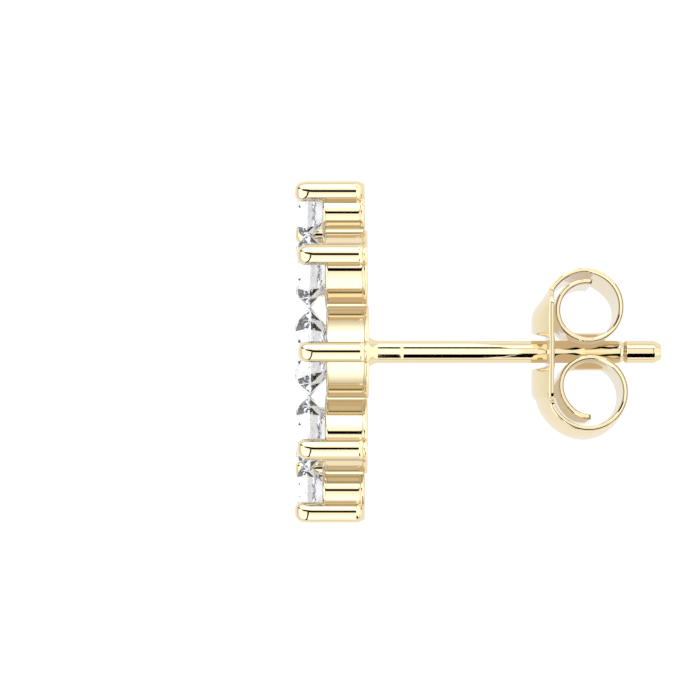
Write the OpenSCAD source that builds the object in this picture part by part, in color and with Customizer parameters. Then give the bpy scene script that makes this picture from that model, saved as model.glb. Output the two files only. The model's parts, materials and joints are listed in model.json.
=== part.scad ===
// Ear climber: five round stones in an arc, on an ear post with a butterfly clutch.
// Pieces are drawn with the post along +X, the arc along Y and the arc's outer side at +Z, from the
// middle of the setting's back. laid() then turns them to the way the earring rests on a table.
// Units are millimetres.

/* [Stones] */
// Diameter of the middle stone
middle_stone_d = 3.3; // [3.1:0.05:3.4]
// Diameter of the stones next to the middle one
second_stone_d = 2.85; // [2.7:0.05:3]
// Diameter of the stones at the ends
end_stone_d = 2.1; // [1.9:0.05:2.2]
// Gap between neighbouring stones at their girdles
stone_gap = 0.04; // [0.03:0.01:0.06]
// Lean of the arc between the middle stone and the second one, in degrees
inner_lean = 11.3; // [8:0.1:14]
// Lean of the arc between the second stone and the end one, in degrees
outer_lean = 29.7; // [26:0.1:33]
// Height of the girdles above the back of the setting
girdle_height = 2.2; // [2.1:0.02:2.24]
// Table width, corner to corner, as a share of the stone's diameter
table_share = 0.62; // [0.55:0.01:0.66]
// Crown height as a share of the stone's diameter
crown_share = 0.16; // [0.14:0.005:0.165]
// Pavilion depth as a share of the stone's diameter
pavilion_share = 0.43; // [0.41:0.005:0.44]
// Thickness of the girdle
girdle_t = 0.07; // [0.04:0.01:0.1]
// Gap between a stone and its seat in the prongs
seat_gap = 0.03; // [0.02:0.005:0.04]

/* [Setting] */
// Height of the basket walls above the back of the setting
wall_height = 1.6; // [1.5:0.05:1.65]
// Thickness of the basket walls
wall_t = 0.3; // [0.25:0.01:0.35]
// How far the basket walls stand out past the girdles
wall_out = 0.04; // [0.03:0.005:0.06]
// Thickness of the lip round the back edge
lip_t = 0.18; // [0.12:0.01:0.22]
// How far the lip stands out past the walls
lip_out = 0.06; // [0.03:0.01:0.1]
// Diameter of the prongs
prong_d = 0.78; // [0.72:0.01:0.82]
// Height of the prong tips above the back of the setting
prong_height = 2.63; // [2.6:0.01:2.68]
// Radius of the rounded back end of a prong
prong_foot_r = 0.3; // [0.2:0.01:0.34]
// Diameter of the small bars in the clefts between baskets
bar_d = 0.28; // [0.24:0.01:0.32]
// Distance of a bar from the line where two baskets meet
bar_reach = 0.42; // [0.38:0.01:0.46]
// How far the second baskets lie in front of the middle one
second_bow = 0.05; // [0:0.01:0.08]
// How far the end baskets lie in front of the middle one
end_bow = 0.15; // [0.1:0.01:0.18]
// Width of the bridge that carries the post
bridge_w = 1.3; // [1.2:0.05:1.6]
// Thickness of the bridge
bridge_t = 0.45; // [0.35:0.01:0.5]

/* [Post] */
// Diameter of the post
post_d = 0.84; // [0.76:0.01:0.88]
// Length of the post behind the setting
post_length = 10.95; // [10.5:0.05:11.5]
// How far the solder flare at the root stands out past the post
flare_out = 0.14; // [0.08:0.01:0.16]
// Length of the solder flare
flare_length = 0.25; // [0.2:0.01:0.3]
// Distance from the post's end to the middle of the stop groove
groove_back = 1.42; // [1.2:0.02:1.6]
// Width of the stop groove
groove_w = 0.22; // [0.15:0.01:0.3]
// Depth of the stop groove
groove_depth = 0.08; // [0.05:0.01:0.1]
// Length of the chamfer at the post's end
chamfer_length = 0.26; // [0.15:0.01:0.3]
// Depth of the chamfer at the post's end
chamfer_depth = 0.14; // [0.08:0.01:0.18]

/* [Clutch] */
// Distance from the back of the setting to the clutch's plate
clutch_place = 6.09; // [3:0.01:6.2]
// Thickness of the clutch's sheet
sheet_t = 0.2; // [0.18:0.01:0.21]
// Radius of the crown across the sheet
crown_r = 4.97; // [4.9:0.01:5.2]
// Width of the plate across the sheet
plate_w = 4.7; // [4.6:0.05:4.8]
// Width of the scrolls across the sheet
scroll_w = 3.3; // [3.2:0.05:3.4]
// Width of the lower arm where it leaves the plate
arm_w = 4; // [3.6:0.05:4.2]
// Radial gap between the post and the clutch's hole
hole_gap = 0.04; // [0.02:0.01:0.06]
// Outer radius of the upper scroll's inner turn
upper_scroll_r = 1.17; // [1.14:0.01:1.18]
// Outer radius of the lower scroll beside the post
lower_scroll_r = 1.3; // [1.26:0.01:1.32]
// How far the scrolls' far rims lean towards -Y
scroll_lean = 0.24; // [0:0.01:0.26]
// How far the scrolls' far rims lean towards the plate
scroll_skew = 0.1; // [0:0.01:0.12]

/* [Hidden] */
$fn = 64;
gold = "#f0d79a";
clear_stone = "#e8eef2";

// Rows of the arc, counted from the middle stone. PAST_GIRDLE is from the girdle to a prong's centre,
// and BOW is how far the row lies in front of the middle one.
DIAMETER = 0;
LEAN = 1;
PRONG_TURN = 2;
PAST_GIRDLE = 3;
BOW = 4;
rows = [
    [middle_stone_d, 0, 0, 0.25, 0],
    [second_stone_d, inner_lean, (inner_lean + outer_lean) / 2, 0.22, second_bow],
    [end_stone_d, outer_lean, 1.4 * outer_lean, 0.16, end_bow]
];

// Each row's centre follows from the row before it
function step_to(i) = (rows[i - 1][DIAMETER] + rows[i][DIAMETER]) / 2 + stone_gap;
function row_y(i) = i == 0 ? 0 : row_y(i - 1) + step_to(i) * cos(rows[i][LEAN]);
function row_z(i) = i == 0 ? 0 : row_z(i - 1) - step_to(i) * sin(rows[i][LEAN]);

// Stones are numbered 1 to 5 from +Y to -Y, so 3 is the middle one
function row(n) = rows[abs(n - 3)];
function end_of(n) = n > 3 ? -1 : 1;
function stone_y(n) = end_of(n) * row_y(abs(n - 3));
function stone_z(n) = row_z(abs(n - 3));
function stone_r(n) = row(n)[DIAMETER] / 2;

// Side is 1 for the prong on the arc's outer side and -1 for the one on its inner side
function prong_reach(n) = stone_r(n) + row(n)[PAST_GIRDLE];
function prong_y(n, side) = stone_y(n) + side * end_of(n) * prong_reach(n) * sin(row(n)[PRONG_TURN]);
function prong_z(n, side) = stone_z(n) + side * prong_reach(n) * cos(row(n)[PRONG_TURN]);

// How far the crowned sheet falls back at a distance from its middle line
function crown_drop(z) = crown_r - sqrt(crown_r * crown_r - z * z);

// The earring rests on the rounded feet of its two lowest prongs and on the low edge of the plate
foot_x = -end_bow - prong_foot_r;
foot_z = prong_z(1, -1) - prong_d / 2 + prong_foot_r;
edge_x = clutch_place + crown_drop(plate_w / 2) + sheet_t;
edge_z = -plate_w / 2;
rest_span = norm([edge_x - foot_x, edge_z - foot_z]);
rest_tilt = atan2(edge_z - foot_z, edge_x - foot_x) + asin(prong_foot_r / rest_span);
floor_z = foot_z * cos(rest_tilt) - foot_x * sin(rest_tilt) - prong_foot_r;

// Reach of the tilted earring, from the tips of the lowest prongs to the end of the post
tip_x = prong_d / 2 - prong_height - end_bow;
front_x = tip_x * cos(rest_tilt) + prong_z(1, -1) * sin(rest_tilt) - prong_d / 2;
back_x = post_length * cos(rest_tilt) + (post_d / 2 - chamfer_depth) * sin(rest_tilt);

// Moves a piece from the drawing's place to where the earring rests, over the frame's origin
module laid() {
    translate([-(front_x + back_x) / 2, 0, -floor_z])
        rotate([0, rest_tilt, 0])
            children();
}

// A rod along X
module rod(from, to, r, y = 0, z = 0) {
    translate([from, y, z])
        rotate([0, 90, 0])
            cylinder(h = to - from, r = r);
}

// Round brilliant with its girdle in the plane x = 0 and its table towards -X: the table, 8 stars,
// 8 kites, 16 upper girdle facets, the girdle, 16 lower girdle facets and 8 pavilion mains
module brilliant(r) {
    fold = cos(22.5);
    table_r = r * table_share;
    star_r = (r + table_r * fold) / 2;
    crown_h = 2 * r * crown_share;
    star_h = crown_h * (r - star_r * fold) / (r - table_r);
    main_h = 2 * r * pavilion_share;
    main_r = 0.24 * r;
    half = girdle_t / 2;
    points = concat(
        [for (k = [0:7]) [-half - crown_h, table_r * cos(45 * k), table_r * sin(45 * k)]],
        [for (k = [0:7]) [-half - star_h, star_r * cos(45 * k + 22.5), star_r * sin(45 * k + 22.5)]],
        [for (k = [0:15]) [-half, r * cos(22.5 * k), r * sin(22.5 * k)]],
        [for (k = [0:15]) [half, r * cos(22.5 * k), r * sin(22.5 * k)]],
        [for (k = [0:7]) [
            half + main_h * (1 - main_r * fold / r),
            main_r * cos(45 * k + 22.5),
            main_r * sin(45 * k + 22.5)
        ]],
        [[half + main_h, 0, 0]]
    );
    table = 0;
    star = 8;
    upper = 16;
    lower = 32;
    main = 48;
    culet = 56;
    polyhedron(points, concat(
        [[for (k = [0:7]) table + k]],
        [for (k = [0:7]) [table + k, star + k, table + (k + 1) % 8]],
        [for (k = [0:7]) [table + k, star + (k + 7) % 8, upper + 2 * k, star + k]],
        [for (k = [0:7]) [star + k, upper + 2 * k, upper + 2 * k + 1]],
        [for (k = [0:7]) [star + k, upper + 2 * k + 1, upper + (2 * k + 2) % 16]],
        [for (k = [0:15]) [upper + k, lower + k, lower + (k + 1) % 16, upper + (k + 1) % 16]],
        [for (k = [0:7]) [main + k, lower + 2 * k + 1, lower + 2 * k]],
        [for (k = [0:7]) [main + k, lower + (2 * k + 2) % 16, lower + 2 * k + 1]],
        [for (k = [0:7]) [culet, main + k, lower + 2 * k, main + (k + 7) % 8]]
    ));
}

module stone(n) {
    color(clear_stone)
        laid()
            translate([-girdle_height - row(n)[BOW], stone_y(n), stone_z(n)])
                brilliant(stone_r(n));
}

// The notch that a stone's girdle sits in: a little larger and steeper than the stone
module seat(n) {
    r = stone_r(n) + seat_gap;
    half = girdle_t / 2 + seat_gap;
    above = 0.45;
    below = 0.8;
    crown_slope = 1.12;
    pavilion_slope = 0.92;
    translate([-girdle_height - row(n)[BOW], stone_y(n), stone_z(n)])
        rotate([0, -90, 0])
            rotate_extrude()
                polygon([
                    [0, -half - below],
                    [r - below / pavilion_slope, -half - below],
                    [r, -half],
                    [r, half],
                    [r - above / crown_slope, half + above],
                    [0, half + above]
                ]);
}

// A prong of round wire with a domed tip and a rounded foot
module prong(n, side) {
    r = prong_d / 2;
    translate([-row(n)[BOW], prong_y(n, side), prong_z(n, side)])
        rotate([0, -90, 0])
            rotate_extrude() {
                square([r - prong_foot_r, prong_height - r]);
                translate([0, prong_foot_r])
                    square([r, prong_height - r - prong_foot_r]);
                intersection() {
                    translate([r - prong_foot_r, prong_foot_r])
                        circle(prong_foot_r);
                    translate([r - prong_foot_r, 0])
                        square(prong_foot_r);
                }
                intersection() {
                    translate([0, prong_height - r])
                        circle(r);
                    translate([0, prong_height - r])
                        square(r);
                }
            }
}

// The two small bars beside the line where basket n meets the next one
module cleft_bars(n) {
    along = [stone_y(n + 1) - stone_y(n), stone_z(n + 1) - stone_z(n)];
    u = along / norm(along);
    meet = [stone_y(n), stone_z(n)] + u * (stone_r(n) + stone_gap / 2);
    front = -wall_height - min(row(n)[BOW], row(n + 1)[BOW]);
    back = -max(row(n)[BOW], row(n + 1)[BOW]);
    for (side = [-1, 1])
        rod(front, back, bar_d / 2, meet.x - side * bar_reach * u.y, meet.y + side * bar_reach * u.x);
}

// A basket's wall with the lip round its back edge, and the lip's lobe under each prong but the end ones
module basket(n) {
    back = -row(n)[BOW];
    r = stone_r(n) + wall_out;
    rod(back - wall_height, back, r, stone_y(n), stone_z(n));
    rod(back - lip_t, back, r + lip_out, stone_y(n), stone_z(n));
    for (side = [-1, 1]) {
        prong(n, side);
        if (n > 1 && n < 5)
            rod(back - lip_t, back, prong_d / 2 + lip_out / 2, prong_y(n, side), prong_z(n, side));
    }
}

// The post, with its solder flare, its stop groove and its chamfered end, from inside the bridge
module post() {
    r = post_d / 2;
    groove_x = post_length - groove_back;
    rotate([0, 90, 0])
        rotate_extrude()
            polygon([
                [0, -bridge_t / 2],
                [r + flare_out, -bridge_t / 2],
                [r + flare_out, 0],
                [r, flare_length],
                [r, groove_x - groove_w / 2],
                [r - groove_depth, groove_x],
                [r, groove_x + groove_w / 2],
                [r, post_length - chamfer_length],
                [r - chamfer_depth, post_length],
                [0, post_length]
            ]);
}

module setting() {
    color(gold)
        laid() {
            difference() {
                union() {
                    for (n = [1:5])
                        basket(n);
                    for (n = [1:4])
                        cleft_bars(n);
                }
                for (n = [1:5]) {
                    rod(-2 * wall_height, wall_height, stone_r(n) + wall_out - wall_t, stone_y(n), stone_z(n));
                    seat(n);
                }
            }
            translate([-bridge_t, -middle_stone_d / 2 + wall_t / 2, -bridge_w / 2])
                cube([bridge_t, middle_stone_d - wall_t, bridge_w]);
            post();
        }
}

// The clutch is one strip, swept from the upper scroll's inner end round the plate to the lower
// scroll's inner end. A station holds the strip's two edge lines, outer and inner, as [x, y], the
// way its crown bulges, its half width, how much of the crown and of the scrolls' lean it has, and
// the side of its scroll.
OUTER = 0;
INNER = 1;
BULGE = 2;
HALF_W = 3;
CROWN = 4;
LEANS = 5;
SIDE = 6;

function unit(a) = [cos(a), sin(a)];
function share(t) = min(1, max(0, t));
function smooth(t) = share(t) * share(t) * (3 - 2 * share(t));
function blend(a, b, t) = a + (b - a) * share(t);
function on_arc(c, a, r, half_w, crown, leans, side) =
    [c + r * unit(a), c + (r - sheet_t) * unit(a), unit(a), half_w, crown, leans, side];

plate_x = clutch_place + crown_drop(plate_w / 2);
hole_r = post_d / 2 + hole_gap;
channel_r = hole_r + 0.03;
turns = 29;

// The upper scroll is counted in degrees from its inner end, over its top, to the plate. Its outer
// turn widens by UPPER_RISE to lap over its end, and leans more over it, by the share LEAN_MORE.
upper_centre = [clutch_place + 1.993, 1.56];
upper_start = -282;
upper_rise = 0.43;
upper_rise_from = -105;
upper_rise_over = 200;
lean_more = 0.65;
lean_more_from = -20;
lean_more_over = 90;
upper_out_r = upper_scroll_r + upper_rise;
upper_meet = acos((plate_x - upper_centre.x) / upper_out_r);
plate_top = upper_centre.y + upper_out_r * sin(upper_meet);
function upper_r(a) = upper_scroll_r + upper_rise * share((a - upper_rise_from) / upper_rise_over);
function upper_leans(a) = 1 + lean_more * smooth((a - lean_more_from) / lean_more_over);

// The lower scroll is counted in degrees from the plate, under its bottom, to its inner end. It
// tightens by LOWER_RISE from the plate to its top, and then by LOWER_TUCK to its end.
lower_centre = [clutch_place + 2.164, -1.4];
lower_stop = 270;
lower_rise = 0.33;
lower_rise_to = 60;
lower_rise_over = 215;
lower_tuck = 0.18;
tuck_from = 130;
tuck_over = 95;
taper_over = 120;
crown_out_over = 110;
lower_out_r = lower_scroll_r + lower_rise;
lower_meet = -acos((plate_x - lower_centre.x) / lower_out_r);
plate_end = lower_centre.y + lower_out_r * sin(lower_meet);
function lower_r(a) =
    lower_scroll_r + lower_rise * share((lower_rise_to - a) / lower_rise_over)
        - lower_tuck * smooth((a - tuck_from) / tuck_over);

// The plate is rounded in to the strip's two arms. At the upper one its crown dies out and the upper
// scroll's lean begins.
upper_shoulder = 0.7;
lower_shoulder = 0.35;
crown_in = 1.2;
function rounded_in(arm, depth, r) = blend(arm, plate_w, sqrt(1 - pow(1 - share(depth / r), 2))) / 2;
function plate_half(y) =
    min(rounded_in(scroll_w, plate_top - y, upper_shoulder), rounded_in(arm_w, y - plate_end, lower_shoulder));
function plate_crown(y) = sin(90 * share((plate_top - y) / crown_in));
function on_plate(outer_y, inner_y, half_w, crown, leans = 0) =
    [[plate_x, outer_y], [plate_x + sheet_t, inner_y], [-1, 0], half_w, crown, leans, 0];
function plate_leans(y) = (1 + lean_more) * (1 - share((plate_top - y) / crown_in));
function plain(y) = on_plate(y, y, plate_half(y), plate_crown(y), plate_leans(y));

// The plate is pressed flat in a groove as wide as the post's channel, with flared flanks
flank = 0.2;
function groove_edge(side) = [
    on_plate(side * (channel_r + flank), side * (channel_r + flank + sheet_t), plate_w / 2, 1),
    on_plate(side * channel_r, side * (channel_r + sheet_t), plate_w / 2, 0)
];

stations = concat(
    [for (i = [0:turns])
        let (a = blend(upper_start, upper_meet, i / turns))
            on_arc(upper_centre, a, upper_r(a), scroll_w / 2, 0, upper_leans(a), 1)],
    [for (i = [1:6]) plain(plate_top - crown_in * pow(i / 6, 2))],
    groove_edge(1),
    [groove_edge(-1)[1], groove_edge(-1)[0]],
    [for (i = [3:-1:1]) plain(plate_end + lower_shoulder * pow(i / 3, 2))],
    [for (i = [0:turns])
        let (a = blend(lower_meet, lower_stop, i / turns))
            on_arc(
                lower_centre, a, lower_r(a), blend(arm_w, scroll_w, (a - lower_meet) / taper_over) / 2,
                smooth(-a / crown_out_over), share(1 - a / lower_meet), -1
            )]
);

// Places across the strip: close together beside the post's channel, as shares of its radius, and
// then past the channel in the strip's inner side
channel_shares = [0.4, 0.75, 0.94, 1.14];
channel_past = 0.01;
near_post = concat(channel_r * channel_shares, [channel_r + sheet_t + channel_past]);
function half_across(h) = concat(near_post, [(near_post[4] + h) / 2, h]);
function across(h) = concat([for (i = [6:-1:0]) -half_across(h)[i]], [0], half_across(h));

// Keeps a point of a scroll out of a round channel along the post
function clear_of(p, z, side, r) =
    side == 0 || abs(z) >= r ? p : [p.x, side * max(side * p.y, sqrt(r * r - z * z))];

// One corner of the strip's section: an edge line's point, bulged, leaned and kept off the post
function corner(s, edge, z, r) =
    let (
        bulge = s[BULGE] * s[CROWN] * (crown_drop(s[HALF_W]) - crown_drop(z)),
        lean = s[LEANS] * [scroll_skew, scroll_lean] * (1 - z / s[HALF_W]) / 2,
        p = clear_of(edge + bulge - lean, z, s[SIDE], r)
    )
        [p.x, p.y, z];
function ring(s) =
    let (zs = across(s[HALF_W]))
        concat(
            [for (z = zs) corner(s, s[OUTER], z, channel_r)],
            [for (i = [len(zs) - 1:-1:0]) corner(s, s[INNER], zs[i], channel_r + sheet_t)]
        );

module strip() {
    n = 2 * len(across(1.5));
    last = (len(stations) - 1) * n;
    polyhedron(
        [for (s = stations) each ring(s)],
        concat(
            [for (k = [0:len(stations) - 2], i = [0:n - 1])
                let (a = k * n + i, b = k * n + (i + 1) % n)
                    [a, b, b + n, a + n]],
            [for (i = [0:n / 2 - 2]) [i + 1, i, n - 1 - i, n - 2 - i]],
            [for (i = [0:n / 2 - 2]) [last + i, last + i + 1, last + n - 2 - i, last + n - 1 - i]]
        )
    );
}

module clutch() {
    color(gold)
        laid()
            difference() {
                strip();
                rod(plate_x - sheet_t, plate_x + 2 * sheet_t, hole_r);
            }
}

setting();
stone(1);  // stone_1
stone(2);  // stone_2
stone(3);  // stone_3
stone(4);  // stone_4
stone(5);  // stone_5
clutch();
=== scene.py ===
import json
import math

import bmesh
import bpy
from mathutils import Matrix, Vector


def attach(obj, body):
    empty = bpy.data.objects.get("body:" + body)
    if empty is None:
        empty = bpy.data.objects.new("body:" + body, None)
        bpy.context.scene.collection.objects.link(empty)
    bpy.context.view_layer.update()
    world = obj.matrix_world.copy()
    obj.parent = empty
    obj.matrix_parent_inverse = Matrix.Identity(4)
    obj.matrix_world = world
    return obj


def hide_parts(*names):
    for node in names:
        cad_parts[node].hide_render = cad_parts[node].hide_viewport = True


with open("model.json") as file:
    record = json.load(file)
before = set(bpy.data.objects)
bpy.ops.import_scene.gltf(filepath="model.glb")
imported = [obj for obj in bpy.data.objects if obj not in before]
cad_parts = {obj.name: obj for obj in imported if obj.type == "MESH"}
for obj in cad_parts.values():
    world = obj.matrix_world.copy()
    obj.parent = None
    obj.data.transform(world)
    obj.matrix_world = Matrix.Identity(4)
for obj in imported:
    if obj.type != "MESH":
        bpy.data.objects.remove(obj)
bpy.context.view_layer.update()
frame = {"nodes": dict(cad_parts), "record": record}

# How the earring lies. Every piece is drawn in millimetres, with the post along X, the arc along Y and
# the arc's outer side towards Z, from the middle of the setting's back. The record's mount on the post
# says where that point is and which way the post leans as the earring rests on its side.
MM = 0.001
post_mount = next(m for m in frame["record"]["mounts"] if m["name"] == "ear_post")
post_way = Vector(post_mount["axis"]).normalized()
arc_way = Vector((0, 1, 0))
turned = Matrix((post_way, arc_way, post_way.cross(arc_way))).transposed().to_4x4()
placed = Matrix.Translation(post_mount["pos_m"]) @ turned
laid = placed @ Matrix.Scale(MM, 4)


# The five stones are round brilliants of cubic zirconia, cut and polished flat facet by facet. Their
# rows step down from the middle one to the ends, along an arc that bends towards its ends.
def linear(colour):
    """An sRGB hex colour as linear red, green and blue, with alpha."""
    shares = [int(colour[i:i + 2], 16) / 255 for i in (1, 3, 5)]
    return [s / 12.92 if s <= 0.04045 else ((s + 0.055) / 1.055) ** 2.4 for s in shares] + [1]


def add_node(tree, kind, inputs=None, **settings):
    """Adds a node. An input is a value, or an output of another node to link."""
    made = tree.nodes.new(kind)
    for name, value in settings.items():
        setattr(made, name, value)
    for name, value in (inputs or {}).items():
        if isinstance(value, bpy.types.NodeSocket):
            tree.links.new(value, made.inputs[name])
        else:
            made.inputs[name].default_value = value
    return made


def new_material(name):
    """An empty material, with its node tree, its Object coordinates and its shader."""
    made = bpy.data.materials.new(name)
    made.use_nodes = True
    tree = made.node_tree
    tree.nodes.clear()
    place = add_node(tree, "ShaderNodeTexCoord").outputs["Object"]
    shader = add_node(tree, "ShaderNodeBsdfPrincipled")
    add_node(tree, "ShaderNodeOutputMaterial", {"Surface": shader.outputs[0]})
    return made, tree, place, shader


def link_input(tree, shader, name, output):
    """Lets a pattern set one input of a shader."""
    tree.links.new(output, shader.inputs[name])


ZIRCONIA_IOR = 2.16
CLOUD_MM = 1.2

# Cubic zirconia, cut and polished: clear as water, with hard bright and dark flashes and a cold tint
zirconia, tree, place, shader = new_material("cut_cubic_zirconia")
cloud = add_node(tree, "ShaderNodeTexNoise", {"Vector": place, "Scale": 1 / (CLOUD_MM * MM), "Detail": 2.0})
tint = add_node(tree, "ShaderNodeMix", {
    "Factor": cloud.outputs["Fac"], "A": linear("#FFFFFF"), "B": linear("#F1F5FA")}, data_type="RGBA")
shader.inputs["Roughness"].default_value = 0.0
shader.inputs["IOR"].default_value = ZIRCONIA_IOR
shader.inputs["Transmission Weight"].default_value = 1.0
link_input(tree, shader, "Base Color", tint.outputs["Result"])

# Each row from the middle of the arc: the stone's diameter, the lean of the step to it, how far its
# prongs are turned, how far they stand past the girdle, and how far the row lies in front of the middle
ROWS = [
    {"diameter": 3.3, "lean": 0.0, "turn": 0.0, "past": 0.25, "bow": 0.0},
    {"diameter": 2.85, "lean": 11.3, "turn": 20.5, "past": 0.22, "bow": 0.05},
    {"diameter": 2.1, "lean": 29.7, "turn": 41.58, "past": 0.16, "bow": 0.15},
]
STONE_GAP = 0.04
GIRDLE_HEIGHT = 2.2
GIRDLE_T = 0.07

y, z = 0.0, 0.0
for row, last in zip(ROWS, ROWS[:1] + ROWS):
    if row is not last:
        step = (row["diameter"] + last["diameter"]) / 2 + STONE_GAP
        y += step * math.cos(math.radians(row["lean"]))
        z -= step * math.sin(math.radians(row["lean"]))
    row["y"], row["z"] = y, z


def row_of(number):
    """The row of stone 1 to 5, counted from +Y, and 1 or -1 for its end of the arc."""
    return ROWS[abs(number - 3)], -1 if number > 3 else 1


def centre_of(number):
    """The middle of a stone's basket, at the setting's back."""
    row, end = row_of(number)
    return Vector((0, end * row["y"], row["z"]))


for number in range(1, 6):
    stone = frame["nodes"][f"stone_{number}"]
    stone.data.materials.clear()
    stone.data.materials.append(zirconia)


# The baskets are five short tubes of cast metal, polished and run together, with a rounded front rim
# and a thin lip round the back. Their insides keep the satin finish of the casting, and are given a darker
# tint as painted shade.
def new_gold(name, rough, wave_um, tints):
    """Gold plating whose roughness runs between two values over a surface that waves a little. Where it is
    seen by way of two reflections, it glows with one even painted reflection instead.
    """
    made, tree, place, shader = new_material(name)
    swirl = add_node(tree, "ShaderNodeTexNoise", {
        "Vector": place, "Scale": 1 / (POLISH_WAVE_MM * MM), "Detail": 2.0})
    grain = add_node(tree, "ShaderNodeTexNoise", {
        "Vector": place, "Scale": 1 / (POLISH_GRAIN_MM * MM), "Detail": 4.0})
    sheen = add_node(tree, "ShaderNodeMapRange", {
        "Value": grain.outputs["Fac"], "From Min": GRAIN_SPAN[0], "From Max": GRAIN_SPAN[1],
        "To Min": rough[0], "To Max": rough[1]})
    colour = add_node(tree, "ShaderNodeMix", {
        "Factor": swirl.outputs["Fac"], "A": linear(tints[0]), "B": linear(tints[1])}, data_type="RGBA")
    wave = add_node(tree, "ShaderNodeBump", {
        "Height": swirl.outputs["Fac"], "Strength": 1.0, "Distance": wave_um * MM * MM})
    shader.inputs["Metallic"].default_value = 1.0
    link_input(tree, shader, "Base Color", colour.outputs["Result"])
    link_input(tree, shader, "Roughness", sheen.outputs["Result"])
    link_input(tree, shader, "Normal", wave.outputs["Normal"])
    # Gold that is seen by way of two reflections, as between the scrolls and the post, is painted with one
    # even glow in place of what it would mirror: a painted reflection
    times = add_node(tree, "ShaderNodeLightPath").outputs["Glossy Depth"]
    painted_reflection_mask = add_node(tree, "ShaderNodeMath", {0: times, 1: MIRRORED_MOST - 0.5}, operation="GREATER_THAN")
    painted_reflection = add_node(tree, "ShaderNodeEmission", {"Color": linear(PAINTED_REFLECTION_TONE), "Strength": PAINTED_REFLECTION_GLOW})
    both = add_node(tree, "ShaderNodeMixShader", {
        0: painted_reflection_mask.outputs[0], 1: shader.outputs[0], 2: painted_reflection.outputs[0]})
    output = next(n for n in tree.nodes if n.type == "OUTPUT_MATERIAL")
    tree.links.new(both.outputs[0], output.inputs["Surface"])
    return made


POLISH_WAVE_MM = 0.9
POLISH_GRAIN_MM = 0.06
GRAIN_SPAN = (0.3, 0.7)
MIRRORED_MOST = 2
# Tone and strength of the painted reflection, the even glow that stands in for gold seen by way of two
# reflections
PAINTED_REFLECTION_TONE = "#E4DEEC"
PAINTED_REFLECTION_GLOW = 0.88

# Gold-plated silver, mirror polished: pale yellow, with crisp reflections that waver slightly
polished_gold = new_gold("polished_gold_plate", (0.015, 0.045), 0.2, ("#F8E7C0", "#F6E3B9"))
# The same plating over the cast inside of a basket: satin, and a little darker in colour as painted shade
# in the hollow
shaded_satin_gold = new_gold("satin_gold_plate_painted_shade", (0.2, 0.34), 4.0, ("#F0D9A8", "#E9CD96"))

WALL_HEIGHT = 1.6
WALL_T = 0.3
WALL_OUT = 0.04
LIP_T = 0.18
LIP_OUT = 0.06
RIM_ROUND = 0.1
INNER_ROUND = 0.06
LIP_ROUND = 0.07
LIP_EDGE_ROUND = LIP_OUT * 0.6
LIP_FOOT_ROUND = LIP_OUT * 0.4
LATHE_STEPS = 144
SUPPORT = 0.03
LONG_SIDE = 5 * SUPPORT
MERGE = 1e-5
NORMAL_WEIGHT = 80
AXIS_X = Vector((1, 0, 0))


def lathe(bm, points, rounds, centre, steps=LATHE_STEPS, closed=True):
    """Turns a section of [x, radius] points into a solid about X. Each corner has the radius of its
    rounding and its segments. Each long side gets a point near both its ends, so that it stays
    straight in the shading."""
    corners = [bm.verts.new(centre + Vector((x, r, 0))) for x, r in points]
    face = bm.faces.new(corners)
    for corner, (radius, segments) in zip(corners, rounds):
        if radius:
            bmesh.ops.bevel(
                bm, geom=[corner], offset=radius, affect="VERTICES", segments=segments,
                profile=0.5, material=-1)
    bmesh.ops.delete(bm, geom=bm.faces[:], context="FACES_ONLY")
    for side in [e for e in bm.edges if e.calc_length() > LONG_SIDE]:
        start, end = side.verts
        parts = [side, bmesh.utils.edge_split(side, start, SUPPORT / side.calc_length())[0]]
        longer = max(parts, key=lambda e: e.calc_length())
        bmesh.utils.edge_split(longer, end, SUPPORT / longer.calc_length())
    line = bm.edges[:]
    if not closed:
        line = [e for e in line if any((v.co - centre).yz.length > MERGE for v in e.verts)]
        bmesh.ops.delete(bm, geom=[e for e in bm.edges if e not in line], context="EDGES")
    bmesh.ops.spin(
        bm, geom=list({v for e in line for v in e.verts}) + line, cent=centre, axis=AXIS_X,
        angle=math.tau, steps=steps, use_merge=True)
    bmesh.ops.remove_doubles(bm, verts=bm.verts, dist=MERGE)
    bmesh.ops.recalc_face_normals(bm, faces=bm.faces)


def add_piece(bm, name, body, node, materials):
    """Lays a drawn piece where the earring rests, and makes it a smooth object that rides on its body.
    Light that has gone through a stone passes the setting, so that the stones stay clear of gold."""
    bmesh.ops.transform(bm, matrix=laid, verts=bm.verts)
    mesh = bpy.data.meshes.new(name)
    bm.to_mesh(mesh)
    bm.free()
    mesh.shade_smooth()
    for material in materials:
        mesh.materials.append(material)
    piece = bpy.data.objects.new(name, mesh)
    bpy.context.scene.collection.objects.link(piece)
    piece.visible_transmission = body != "earring"
    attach(piece, body)
    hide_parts(node)
    return piece


def weigh_normals(piece):
    """Lets the wide faces of a piece set the shading beside its narrow roundings."""
    weighted = piece.modifiers.new("weighted", "WEIGHTED_NORMAL")
    weighted.weight = NORMAL_WEIGHT


for number in range(1, 6):
    row, end = row_of(number)
    back = -row["bow"]
    outside = row["diameter"] / 2 + WALL_OUT
    inside = outside - WALL_T
    front = back - WALL_HEIGHT
    bm = bmesh.new()
    lathe(
        bm,
        [(back, inside), (back, outside + LIP_OUT), (back - LIP_T, outside + LIP_OUT),
         (back - LIP_T, outside), (front, outside), (front, inside)],
        [(INNER_ROUND, 3), (LIP_ROUND, 4), (LIP_EDGE_ROUND, 3), (LIP_FOOT_ROUND, 3),
         (RIM_ROUND, 5), (INNER_ROUND, 3)],
        centre_of(number))
    # The faces inside a basket take the satin gold, whose darker tint is painted shade
    for face in bm.faces:
        reach = (face.calc_center_median() - centre_of(number)).yz.length
        face.material_index = int(reach < inside + INNER_ROUND / 2)
    basket = add_piece(bm, f"basket_{number}", "earring", "setting", [polished_gold, shaded_satin_gold])
    weigh_normals(basket)

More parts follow.
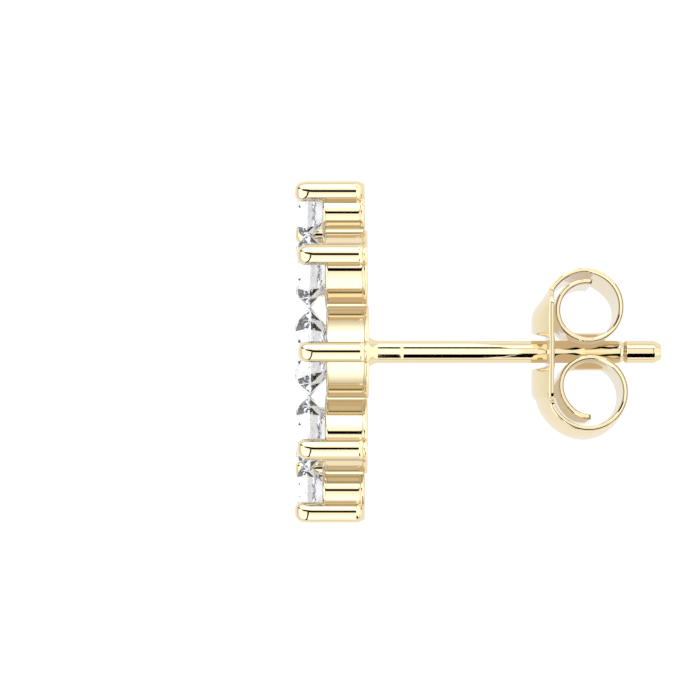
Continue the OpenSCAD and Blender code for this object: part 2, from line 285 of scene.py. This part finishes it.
# The prongs are round wire, two to a basket, soldered into its wall, with a notch for the stone's
# girdle and a domed tip that tapers and is pushed over the crown. Their back ends are rounded off, and
# their near sides are polished a little flat.
PRONG_D = 0.78
PRONG_HEIGHT = 2.63
PRONG_FOOT_R = 0.3
PRONG_TIP_R = 0.27
SEAT_GAP = 0.03
SEAT_ABOVE = 0.45
SEAT_BELOW = 0.8
CROWN_SLOPE = 1.12
PAVILION_SLOPE = 0.92
PUSHED_FROM = 2.05
PUSH = 0.16
TAPER_LENGTH = 0.6
TAPER = 0.1
TAPER_CUTS = 10
TAPER_CUTS_REACH = 1.2
FLATS = 0.09
PRONG_STEPS = 48
SHARP_FROM = math.radians(50)


def mix(a, b, t):
    """The value that lies at a share of the way from a to b."""
    return a + (b - a) * min(1.0, max(0.0, t))


def prong_centre(number, side):
    """The middle of a prong's wire, on the outer side of the arc for 1 and on the inner for -1."""
    row, end = row_of(number)
    reach = row["diameter"] / 2 + row["past"]
    turn = math.radians(row["turn"])
    across = Vector((0, end * math.sin(turn), math.cos(turn)))
    return centre_of(number) + across * (side * reach)


def cut(piece, tool):
    """Takes the tool's solid out of the piece, and the tool out of the scene."""
    modifier = piece.modifiers.new("cut", "BOOLEAN")
    modifier.operation = "DIFFERENCE"
    modifier.solver = "EXACT"
    modifier.object = tool
    evaluated = piece.evaluated_get(bpy.context.evaluated_depsgraph_get())
    whole = piece.data
    piece.data = bpy.data.meshes.new_from_object(evaluated)
    piece.modifiers.clear()
    piece.data.name = piece.name
    bpy.data.meshes.remove(whole)
    bpy.data.objects.remove(tool)


def cutter(bm, name):
    """Lays a drawn solid where the earring rests, as a tool to cut with."""
    bmesh.ops.transform(bm, matrix=laid, verts=bm.verts)
    mesh = bpy.data.meshes.new(name)
    bm.to_mesh(mesh)
    bm.free()
    tool = bpy.data.objects.new(name, mesh)
    bpy.context.scene.collection.objects.link(tool)
    return tool


radius = PRONG_D / 2
for number in range(1, 6):
    row, end = row_of(number)
    for side, where in ((1, "outer"), (-1, "inner")):
        centre = prong_centre(number, side)
        back = -row["bow"]
        tip = back - PRONG_HEIGHT
        bm = bmesh.new()
        lathe(
            bm,
            [(back, 0), (back, radius), (tip, radius), (tip, 0)],
            [(0, 0), (PRONG_FOOT_R, 8), (PRONG_TIP_R, 12), (0, 0)],
            centre, steps=PRONG_STEPS, closed=False)
        to_stone = (centre_of(number) - centre).normalized()
        cuts_from = tip + PRONG_TIP_R + SUPPORT
        for i in range(TAPER_CUTS):
            bmesh.ops.bisect_plane(
                bm, geom=bm.verts[:] + bm.edges[:] + bm.faces[:], dist=MERGE,
                plane_co=(mix(cuts_from, tip + TAPER_CUTS_REACH * TAPER_LENGTH, i / TAPER_CUTS), 0, 0),
                plane_no=AXIS_X)
        for v in bm.verts:
            near_tip = max(0.0, 1 - (v.co.x - tip) / TAPER_LENGTH)
            middle = Vector((v.co.x, centre.y, centre.z))
            around = math.atan2(v.co.y - centre.y, v.co.z - centre.z)
            near_side = abs(around) < math.pi / 2
            flats = 1 + FLATS * (1 - math.cos(4 * around)) / 2 * near_side
            v.co = middle + (v.co - middle) * (1 - TAPER * near_tip ** 2) * flats
            past = max(0.0, back - PUSHED_FROM - v.co.x)
            v.co += to_stone * PUSH * past * past
        prong = add_piece(bm, f"prong_{number}_{where}", "earring", "setting", [polished_gold])
        seat = row["diameter"] / 2 + SEAT_GAP
        girdle = back - GIRDLE_HEIGHT
        half = GIRDLE_T / 2 + SEAT_GAP
        bm = bmesh.new()
        lathe(
            bm,
            [(girdle + half + SEAT_BELOW, 0),
             (girdle + half + SEAT_BELOW, seat - SEAT_BELOW / PAVILION_SLOPE),
             (girdle + half, seat),
             (girdle - half, seat),
             (girdle - half - SEAT_ABOVE, seat - SEAT_ABOVE / CROWN_SLOPE),
             (girdle - half - SEAT_ABOVE, 0)],
            [(0, 0)] * 6,
            centre_of(number), closed=False)
        cut(prong, cutter(bm, "seat"))
        prong.data.set_sharp_from_angle(angle=SHARP_FROM)
        if 1 < number < 5:
            bm = bmesh.new()
            lathe(
                bm,
                [(back, 0), (back, radius + LIP_OUT / 2), (back - LIP_T, radius + LIP_OUT / 2),
                 (back - LIP_T, 0)],
                [(0, 0), (LIP_ROUND, 4), (LIP_OUT / 2, 3), (0, 0)],
                centre, steps=PRONG_STEPS, closed=False)
            lobe = add_piece(bm, f"lobe_{number}_{where}", "earring", "setting", [polished_gold])
            weigh_normals(lobe)

# The bars are short round wires that fill the clefts between neighbouring baskets, two to a cleft,
# cast with the baskets and polished with them.
BAR_D = 0.28
BAR_REACH = 0.42
BAR_ROUND = 0.05
BAR_STEPS = 32

for number in range(1, 5):
    here, there = centre_of(number), centre_of(number + 1)
    bows = [row_of(n)[0]["bow"] for n in (number, number + 1)]
    along = (there - here).normalized()
    across = AXIS_X.cross(along)
    meet = here + along * (row_of(number)[0]["diameter"] + STONE_GAP) / 2
    for side, where in ((1, "outer"), (-1, "inner")):
        centre = meet + across * BAR_REACH * side
        bm = bmesh.new()
        lathe(
            bm,
            [(-max(bows), 0), (-max(bows), BAR_D / 2), (-WALL_HEIGHT - min(bows), BAR_D / 2),
             (-WALL_HEIGHT - min(bows), 0)],
            [(0, 0), (BAR_ROUND, 3), (BAR_ROUND, 3), (0, 0)],
            centre, steps=BAR_STEPS, closed=False)
        bar = add_piece(bm, f"bar_{number}_{where}", "earring", "setting", [polished_gold])
        weigh_normals(bar)

# The bridge is a flat bar across the back of the middle basket. It is cast with it, and carries the
# post.
BRIDGE_W = 1.3
BRIDGE_T = 0.45
BRIDGE_ROUND = 0.09

bm = bmesh.new()
length = ROWS[0]["diameter"] - WALL_T
bmesh.ops.create_cube(bm, size=1)
bmesh.ops.scale(bm, vec=(BRIDGE_T, length, BRIDGE_W), verts=bm.verts)
bmesh.ops.translate(bm, vec=(-BRIDGE_T / 2, 0, 0), verts=bm.verts)
bmesh.ops.bevel(
    bm, geom=bm.edges[:], offset=BRIDGE_ROUND, affect="EDGES", segments=4, profile=0.5, material=-1)
bridge = add_piece(bm, "bridge", "earring", "setting", [polished_gold])
weigh_normals(bridge)

# The post is drawn wire, soldered to the bridge with a small flare of solder. A V groove near its end
# stops the clutch, and the end is chamfered to go through the ear.
POST_D = 0.84
POST_LENGTH = 10.95
FLARE_OUT = 0.14
FLARE_LENGTH = 0.25
GROOVE_BACK = 1.42
GROOVE_W = 0.22
GROOVE_DEPTH = 0.08
CHAMFER_LENGTH = 0.26
CHAMFER_DEPTH = 0.14
FLARE_ROUND = 0.08
GROOVE_ROUND = 0.02
END_ROUND = 0.03
POST_STEPS = 96

radius = POST_D / 2
groove = POST_LENGTH - GROOVE_BACK
bm = bmesh.new()
lathe(
    bm,
    [(-BRIDGE_T / 2, 0), (-BRIDGE_T / 2, radius + FLARE_OUT), (0, radius + FLARE_OUT),
     (FLARE_LENGTH, radius),
     (groove - GROOVE_W / 2, radius), (groove, radius - GROOVE_DEPTH), (groove + GROOVE_W / 2, radius),
     (POST_LENGTH - CHAMFER_LENGTH, radius), (POST_LENGTH, radius - CHAMFER_DEPTH), (POST_LENGTH, 0)],
    [(0, 0), (0, 0), (END_ROUND, 2), (FLARE_ROUND, 4)] + [(GROOVE_ROUND, 2)] * 3
    + [(END_ROUND, 4), (END_ROUND, 3), (0, 0)],
    Vector((0, 0, 0)), steps=POST_STEPS, closed=False)
post = add_piece(bm, "post", "earring", "setting", [polished_gold])
weigh_normals(post)

# The clutch is a butterfly ear nut: a flat blank of thin sheet, pressed to a crown across its plate
# and to a groove along the post, then rolled at both ends into scrolls that grip the post. Angles are
# in degrees round a scroll, and a span of them is its start and its length.
SHEET_T = 0.2
CROWN_R = 4.97
PLATE_HALF = 2.35
SCROLL_HALF = 1.65
ARM_HALF = 2.0
UPPER_SHOULDER = 0.7
LOWER_SHOULDER = 0.35
CROWN_IN = 1.2
CLUTCH_PLACE = 6.09
HOLE_PLAY = 0.04
CHANNEL_PLAY = 0.03
HOLE_R = POST_D / 2 + HOLE_PLAY
CHANNEL_R = HOLE_R + CHANNEL_PLAY
CHANNEL_SOFT = 0.1
FLANK = 0.2
FAR_RIM_LEAN = Vector((0.1, 0.24))
LEAN_MORE = 0.65
UPPER_CENTRE = Vector((CLUTCH_PLACE + 1.993, 1.56))
UPPER_R = 1.17
UPPER_RISE = 0.43
UPPER_START = -282
UPPER_WIDENS = (-105, 200)
LEANS_MORE = (-20, 90)
LOWER_CENTRE = Vector((CLUTCH_PLACE + 2.164, -1.4))
LOWER_R = 1.3
LOWER_RISE = 0.33
LOWER_TUCK = 0.18
LOWER_STOP = 270
LOWER_NARROWS = (60, 215)
TUCKS_IN = (130, 95)
ARM_NARROWS_OVER = 120
CROWN_DIES_AT = -110
TURN_STEPS = 72
SHOULDER_STEPS = 14
FLANK_STEPS = 6
FLAT_STEPS = 6
ACROSS = 64
RIM_R = 0.07
RIM_STEPS = 6
SHEET_MERGE = 1e-6


def crown_drop(z):
    """How far the plate's crown has fallen away at a distance from the post's line."""
    return CROWN_R - math.sqrt(CROWN_R * CROWN_R - z * z)


def share(t):
    """A share, held between none and all."""
    return min(1.0, max(0.0, t))


def smooth(t):
    """A share that starts and ends gently."""
    return share(t) ** 2 * (3 - 2 * share(t))


def along_span(angle, span):
    """How much of a span, given by its start and its length in degrees, lies behind an angle."""
    return (angle - span[0]) / span[1]


def rounded_in(arm, t):
    """The plate's half width at a share of the rounding that leads in to an arm."""
    return mix(arm, PLATE_HALF, math.sqrt(1 - (1 - share(t)) ** 2))


def on_scroll(centre, angle, radius, half, crown, leans, side):
    """A station of the sheet on a scroll: its edge line, its outward way, its half width and how much
    of the crown and of the far rims' lean it has."""
    way = Vector((math.cos(math.radians(angle)), math.sin(math.radians(angle))))
    return {"edge": centre + way * radius, "way": way, "half": half, "crown": crown, "leans": leans,
            "side": side}


def on_plate(y, half, crown, leans=0.0):
    """A station of the sheet on the plate."""
    return {"edge": Vector((PLATE_X, y)), "way": Vector((-1, 0)), "half": half, "crown": crown,
            "leans": leans, "side": 0}


PLATE_X = CLUTCH_PLACE + crown_drop(PLATE_HALF)
upper_reach = UPPER_R + UPPER_RISE
upper_meet = math.acos((PLATE_X - UPPER_CENTRE.x) / upper_reach)
plate_top = UPPER_CENTRE.y + upper_reach * math.sin(upper_meet)
lower_reach = LOWER_R + LOWER_RISE
lower_meet = -math.acos((PLATE_X - LOWER_CENTRE.x) / lower_reach)
plate_end = LOWER_CENTRE.y + lower_reach * math.sin(lower_meet)

# From the upper scroll's inner end, over its top: its outer turn widens, and narrows to the neck
stations = []
for i in range(TURN_STEPS + 1):
    angle = mix(UPPER_START, math.degrees(upper_meet), i / TURN_STEPS)
    radius = UPPER_R + UPPER_RISE * share(along_span(angle, UPPER_WIDENS))
    stations.append(on_scroll(
        UPPER_CENTRE, angle, radius, SCROLL_HALF, 0.0,
        1 + LEAN_MORE * smooth(along_span(angle, LEANS_MORE)), 1))
# Down the plate, whose top is rounded in to the arm, to the groove along the post
for i in range(1, SHOULDER_STEPS + 1):
    down = CROWN_IN * (i / SHOULDER_STEPS) ** 2
    stations.append(on_plate(
        plate_top - down, rounded_in(SCROLL_HALF, down / UPPER_SHOULDER),
        math.sin(math.pi / 2 * down / CROWN_IN), (1 + LEAN_MORE) * (1 - down / CROWN_IN)))
flank_out = CHANNEL_R + FLANK
for i in range(1, FLAT_STEPS):
    stations.append(on_plate(mix(plate_top - CROWN_IN, flank_out, i / FLAT_STEPS), PLATE_HALF, 1.0))
for side in (1, -1):
    for i in range(FLANK_STEPS + 1):
        t = i / FLANK_STEPS if side == 1 else 1 - i / FLANK_STEPS
        stations.append(on_plate(side * (flank_out - FLANK * t), PLATE_HALF, 1 - smooth(t)))
for i in range(1, FLAT_STEPS):
    stations.append(on_plate(mix(-flank_out, plate_end + LOWER_SHOULDER, i / FLAT_STEPS), PLATE_HALF, 1.0))
# To its low end, rounded in to the arm
for i in range(SHOULDER_STEPS, 0, -1):
    up = (i / SHOULDER_STEPS) ** 2
    stations.append(on_plate(plate_end + LOWER_SHOULDER * up, rounded_in(ARM_HALF, up), 1.0))
# Under the lower scroll's bottom, where the crown dies out, and round to its inner end
for i in range(TURN_STEPS + 1):
    angle = mix(math.degrees(lower_meet), LOWER_STOP, i / TURN_STEPS)
    rise = LOWER_RISE * share(-along_span(angle, LOWER_NARROWS))
    tuck = LOWER_TUCK * smooth(along_span(angle, TUCKS_IN))
    stations.append(on_scroll(
        LOWER_CENTRE, angle, LOWER_R + rise - tuck,
        mix(ARM_HALF, SCROLL_HALF, (angle - math.degrees(lower_meet)) / ARM_NARROWS_OVER),
        smooth(angle / CROWN_DIES_AT), share(1 - angle / math.degrees(lower_meet)), -1))


# Round the sheet's section: each spot's way across, from -1 to 1, how far it is set in from the rim and
# how deep it lies in the sheet. The two rims have rounded corners, as tumbling leaves them.
section = []
for i in range(ACROSS + 1):
    section.append((mix(-1, 1, i / ACROSS), RIM_R, 0.0))
for corner in (0, 1):
    for i in range(1, RIM_STEPS + 1):
        turn = math.pi / 2 * (corner + i / RIM_STEPS)
        deep = SHEET_T / 2 + (SHEET_T / 2 - RIM_R) * (2 * corner - 1)
        section.append((1, RIM_R * (1 - math.sin(turn)), deep - RIM_R * math.cos(turn)))
section += [(-way, inset, SHEET_T - deep) for way, inset, deep in section]


def rolled(flat):
    """Where a spot of the flat blank lies in the rolled clutch. Its x runs along the blank's stations
    and its y round the section, both from -1 to 1."""
    s = stations[round((flat.x + 1) / 2 * (len(stations) - 1))]
    way, inset, deep = section[round((flat.y + 1) / 2 * len(section)) % len(section)]
    z = way * (s["half"] - inset)
    bulge = s["crown"] * (crown_drop(s["half"]) - crown_drop(z)) - deep
    spot = s["edge"] + s["way"] * bulge - FAR_RIM_LEAN * s["leans"] * (1 - z / s["half"]) / 2
    keep = CHANNEL_R + deep
    if s["side"] and abs(z) < keep:
        wall = math.sqrt(keep * keep - z * z)
        over = s["side"] * spot.y - wall
        spot.y = s["side"] * (wall + (over + math.hypot(over, CHANNEL_SOFT)) / 2)
    return Vector((spot.x, spot.y, z))


bm = bmesh.new()
bmesh.ops.create_grid(bm, x_segments=len(stations) - 1, y_segments=len(section), size=1)
for v in bm.verts:
    v.co = rolled(v.co)
bmesh.ops.remove_doubles(bm, verts=bm.verts, dist=SHEET_MERGE)
bmesh.ops.holes_fill(bm, edges=[e for e in bm.edges if e.is_boundary], sides=0)
bmesh.ops.recalc_face_normals(bm, faces=bm.faces)
clutch = add_piece(bm, "butterfly_clutch", "clutch", "clutch", [polished_gold])
bm = bmesh.new()
bmesh.ops.create_cone(
    bm, cap_ends=True, segments=POST_STEPS, radius1=HOLE_R, radius2=HOLE_R, depth=3 * SHEET_T,
    matrix=Matrix.Translation((PLATE_X + SHEET_T / 2, 0, 0)) @ Matrix.Rotation(math.pi / 2, 4, "Y"))
cut(clutch, cutter(bm, "hole"))
clutch.data.set_sharp_from_angle(angle=SHARP_FROM)
weigh_normals(clutch)

# The floor is a plain sheet of white acrylic, matt and lit softly from below, far wider than the
# earring, so that its shadows stay light. Its glow is made dimmer where the metal mirrors it twice, as
# painted shade in the metal's gaps.
FLOOR_REACH = 3.0
GRAIN_MM = 6.0
OPEN_GLOW = 0.95
# The floor's lower glow, in what the metal mirrors twice, is painted shade for the gaps
GAP_SHADE_GLOW = 0.55
GAP_SHADE_AFTER = 2.0

acrylic, tree, place, shader = new_material("matt_white_acrylic")
grain = add_node(tree, "ShaderNodeTexNoise", {"Vector": place, "Scale": 1 / (GRAIN_MM * MM), "Detail": 3.0})
shade = add_node(tree, "ShaderNodeMix", {
    "Factor": grain.outputs["Fac"], "A": linear("#7E7E7D"), "B": linear("#7B7B7A")}, data_type="RGBA")
shader.inputs["Roughness"].default_value = 0.9
shader.inputs["Specular IOR Level"].default_value = 0.0
shader.inputs["Emission Color"].default_value = linear("#FFFFFF")
bounces = add_node(tree, "ShaderNodeLightPath").outputs["Glossy Depth"]
lit = add_node(tree, "ShaderNodeMapRange", {
    "Value": bounces, "From Max": GAP_SHADE_AFTER, "To Min": OPEN_GLOW, "To Max": GAP_SHADE_GLOW})
link_input(tree, shader, "Emission Strength", lit.outputs["Result"])
link_input(tree, shader, "Base Color", shade.outputs["Result"])

bm = bmesh.new()
bmesh.ops.create_grid(bm, x_segments=1, y_segments=1, size=FLOOR_REACH)
mesh = bpy.data.meshes.new("floor")
bm.to_mesh(mesh)
bm.free()
mesh.materials.append(acrylic)
floor = bpy.data.objects.new("floor", mesh)
bpy.context.scene.collection.objects.link(floor)

# The light is a white tent, brightest overhead and dimmer towards its sides, with a narrow dark seam
# along its top that the polished metal mirrors as fine black lines. Everything but the metal and the
# stones sees the tent as plain white. What is mirrored twice is dimmer and cooler.
GLOW_BY_HEIGHT = [(0.0, 0.6), (0.26, 0.95), (0.41, 1.25), (0.57, 1.75), (0.88, 1.75), (1.0, 1.15)]
GLOW_MOST = 2.0
DEEP_SHARE = 0.48
DEEP_TINT = [0.74, 0.8, 1.05, 1]
SEAM_AT = 0.04
SEAM_DRIFT = 0.3
SEAM_HALF = 0.06
SEAM_SOFT = 0.04
SEAM_DRIFTS_TO = -0.7
SEAM_END = (0.08, 0.16)
BRANCH_AT = -0.09
BRANCH_DRIFT = 0.06
BRANCH_HALF = 0.022
BRANCH_CRISP = 3
BRANCH_END = 0.1
PLAIN_GLOW = 1.02

world = bpy.data.worlds.new("tent")
bpy.context.scene.world = world
world.use_nodes = True
tree = world.node_tree
tree.nodes.clear()
way = add_node(tree, "ShaderNodeTexCoord").outputs["Generated"]


def along_axis(axis):
    """How far a way in the tent points along an axis of the earring."""
    made = add_node(tree, "ShaderNodeVectorMath", {0: way, 1: axis}, operation="DOT_PRODUCT")
    return made.outputs["Value"]


back, aside, height = along_axis(post_way), along_axis(arc_way), along_axis(post_way.cross(arc_way))
ramp = add_node(tree, "ShaderNodeValToRGB", {"Fac": height})
for i, (at, level) in enumerate(GLOW_BY_HEIGHT):
    stops = ramp.color_ramp.elements
    stop = stops[i] if i < 2 else stops.new(at)
    stop.position = at
    stop.color = [level / GLOW_MOST] * 3 + [1]
middle = add_node(tree, "ShaderNodeMapRange", {
    "Value": back, "From Min": 0.0, "From Max": SEAM_DRIFTS_TO,
    "To Min": SEAM_AT, "To Max": SEAM_AT + SEAM_DRIFT})
off_seam = add_node(tree, "ShaderNodeMath", {0: aside, 1: middle.outputs["Result"]}, operation="SUBTRACT")
from_seam = add_node(tree, "ShaderNodeMath", {0: off_seam.outputs[0]}, operation="ABSOLUTE")
# The seam ends over the setting's back, and a branch of it runs down over the prongs' tips
ends = add_node(tree, "ShaderNodeMapRange", {
    "Value": back, "From Min": SEAM_END[0], "From Max": SEAM_END[1]})
past_end = add_node(tree, "ShaderNodeMath", {
    0: from_seam.outputs[0], 1: ends.outputs["Result"]}, operation="ADD")
drift = add_node(tree, "ShaderNodeMath", {
    0: aside, 1: BRANCH_DRIFT, 2: BRANCH_AT}, operation="MULTIPLY_ADD")
off_branch = add_node(tree, "ShaderNodeMath", {0: back, 1: drift.outputs[0]}, operation="SUBTRACT")
from_branch = add_node(tree, "ShaderNodeMath", {0: off_branch.outputs[0]}, operation="ABSOLUTE")
above = add_node(tree, "ShaderNodeMapRange", {"Value": aside, "From Min": 0.0, "From Max": BRANCH_END})
past_branch = add_node(tree, "ShaderNodeMath", {
    0: from_branch.outputs[0], 1: above.outputs["Result"]}, operation="ADD")
as_seam = add_node(tree, "ShaderNodeMath", {
    0: past_branch.outputs[0], 1: BRANCH_CRISP, 2: SEAM_HALF - BRANCH_CRISP * BRANCH_HALF},
    operation="MULTIPLY_ADD")
nearest = add_node(tree, "ShaderNodeMath", {
    0: past_end.outputs[0], 1: as_seam.outputs[0]}, operation="MINIMUM")
seam = add_node(tree, "ShaderNodeMapRange", {
    "Value": nearest.outputs[0], "From Min": SEAM_HALF, "From Max": SEAM_HALF + SEAM_SOFT,
    "To Min": 0.0, "To Max": GLOW_MOST}, interpolation_type="SMOOTHSTEP")
glow = add_node(tree, "ShaderNodeMath", {
    0: ramp.outputs["Color"], 1: seam.outputs["Result"]}, operation="MULTIPLY")
path = add_node(tree, "ShaderNodeLightPath")
deep = add_node(tree, "ShaderNodeMapRange", {
    "Value": path.outputs["Glossy Depth"], "From Min": 1.0, "From Max": 2.0,
    "To Min": 1.0, "To Max": DEEP_SHARE})
deep = add_node(tree, "ShaderNodeMath", {
    0: deep.outputs["Result"], 1: path.outputs["Transmission Depth"]}, operation="ADD", use_clamp=True)
glow = add_node(tree, "ShaderNodeMath", {0: glow.outputs[0], 1: deep.outputs[0]}, operation="MULTIPLY")
mirrored = add_node(tree, "ShaderNodeMath", {
    0: path.outputs["Is Glossy Ray"], 1: path.outputs["Is Transmission Ray"]}, operation="MAXIMUM")
seen = add_node(tree, "ShaderNodeMix", {
    "Factor": mirrored.outputs[0], "A": PLAIN_GLOW, "B": glow.outputs[0]}, data_type="FLOAT")
depth = add_node(tree, "ShaderNodeMapRange", {
    "Value": path.outputs["Glossy Depth"], "From Min": 1.0, "From Max": 3.0})
cool = add_node(tree, "ShaderNodeMix", {
    "Factor": depth.outputs["Result"], "A": linear("#FFFFFF"), "B": DEEP_TINT}, data_type="RGBA")
background = add_node(tree, "ShaderNodeBackground", {
    "Color": cool.outputs["Result"], "Strength": seen.outputs["Result"]})
add_node(tree, "ShaderNodeOutputWorld", {"Surface": background.outputs[0]})


def add_card(name, corners, glow, far_glow):
    """A card with its corners in millimetres, that only mirrors and stones can see. It glows by glow
    on one side and by far_glow on the other."""
    bm = bmesh.new()
    bm.faces.new([bm.verts.new(Vector(corner)) for corner in corners])
    bmesh.ops.transform(bm, matrix=laid, verts=bm.verts)
    mesh = bpy.data.meshes.new(name)
    bm.to_mesh(mesh)
    bm.free()
    made = bpy.data.materials.new(name)
    made.use_nodes = True
    made.node_tree.nodes.clear()
    side = add_node(made.node_tree, "ShaderNodeNewGeometry").outputs["Backfacing"]
    either = add_node(made.node_tree, "ShaderNodeMapRange", {
        "Value": side, "To Min": glow, "To Max": far_glow})
    light = add_node(made.node_tree, "ShaderNodeEmission", {"Strength": either.outputs["Result"]})
    add_node(made.node_tree, "ShaderNodeOutputMaterial", {"Surface": light.outputs[0]})
    mesh.materials.append(made)
    card = bpy.data.objects.new(name, mesh)
    bpy.context.scene.collection.objects.link(card)
    card.visible_camera = False
    card.visible_diffuse = False
    card.visible_shadow = False
    return card


# Cards hang over the post and the clutch: a plain one overhead, with a dark edge on either side, and a
# bright one beside the post. Each runs from one place along the post to another, between two [y, z]
# edges, and has its glow.
CARD_H = 60
SETTING_END = 0.6
CLUTCH_START = 7.6
DARK_END = 80
CARD_END = 150
TOP_EDGE = (39, CARD_H)
THIN_EDGE = (47, CARD_H)
WIDE_EDGE = (77, CARD_H)
SIDE_EDGE = (150, 0)
POST_EDGE = (-27, CARD_H)
POST_LOW_EDGE = (-120, 56)
CLUTCH_EDGE = (-18, CARD_H)
CLUTCH_LOW_EDGE = (-90, 50)
DARK = 0.0
CARDS = [
    ("post_panel", SETTING_END, CLUTCH_START, POST_EDGE, TOP_EDGE, 1.5),
    ("clutch_panel", CLUTCH_START, CARD_END, CLUTCH_EDGE, TOP_EDGE, 1.08),
    ("post_gap", SETTING_END, CLUTCH_START, TOP_EDGE, WIDE_EDGE, DARK),
    ("post_side", SETTING_END, CLUTCH_START, WIDE_EDGE, SIDE_EDGE, 1.8),
    ("clutch_gap", CLUTCH_START, DARK_END, TOP_EDGE, THIN_EDGE, DARK),
    ("post_dark", SETTING_END, CLUTCH_START, POST_LOW_EDGE, POST_EDGE, DARK),
    ("clutch_dark", CLUTCH_START, DARK_END, CLUTCH_LOW_EDGE, CLUTCH_EDGE, DARK),
]

for name, start, stop, edge, far_edge, glow in CARDS:
    corners = [(start, *edge), (stop, *edge), (stop, *far_edge), (start, *far_edge)]
    add_card(name, corners, glow, glow)

# Small cards stand across the post's line. The rims of the clutch mirror two dark ones, and a bright
# one, which the light in the stones passes, keeps the dark cards out of the prongs' back ends and of
# the flare. Each has its place along the post, how far it reaches to both sides, its low and high edge,
# and its glow on both sides.
FENCES = [
    ("front_fence", 6.6, 4.0, 2.6, 8.0, DARK, 1.1),
    ("back_fence", 11.2, 4.0, 2.6, 5.5, DARK, DARK),
    ("shield", 1.3, 9.0, 1.0, 16.0, 1.3, 1.3),
]

for name, x, reach, low, high, glow, far_glow in FENCES:
    corners = [(x, -reach, low), (x, reach, low), (x, reach, high), (x, -reach, high)]
    fence = add_card(name, corners, glow, far_glow)
    fence.visible_transmission = name != "shield"

# A softbox lights the floor a little from one side
SOFTBOX_SIZE = (0.5, 0.4)
SOFTBOX_W = 0.35
SOFTBOX_PLACE = Vector((-0.15, 0.3, 0.45))

key = bpy.data.lights.new("softbox", "AREA")
key.shape = "RECTANGLE"
key.size, key.size_y = SOFTBOX_SIZE
key.energy = SOFTBOX_W
softbox = bpy.data.objects.new("softbox", key)
softbox.location = SOFTBOX_PLACE
softbox.rotation_euler = (-SOFTBOX_PLACE).to_track_quat("-Z", "Y").to_euler()
bpy.context.scene.collection.objects.link(softbox)

# Light passes the facets of the stones many times before it is lost, and is mirrored in them less often
cycles = bpy.context.scene.cycles
cycles.max_bounces = 24
cycles.glossy_bounces = 5
cycles.transmission_bounces = 20

# The camera stands 200 mm away on the arc's outer side, square to the post, as in the photo.
CAMERA_MM = (-0.71, 0.07, 200.0)
VIEW_MM = 26.25
SENSOR_MM = 36
NEAREST = 0.01
camera_data = bpy.data.cameras.new("camera")
camera_data.sensor_width = SENSOR_MM
camera_data.lens = SENSOR_MM * CAMERA_MM[2] / VIEW_MM
camera_data.clip_start = NEAREST
camera = bpy.data.objects.new("camera", camera_data)
camera.matrix_world = placed @ Matrix.Translation(Vector(CAMERA_MM) * MM)
bpy.context.scene.collection.objects.link(camera)
bpy.context.scene.camera = camera
bpy.context.scene.view_settings.view_transform = "Standard"
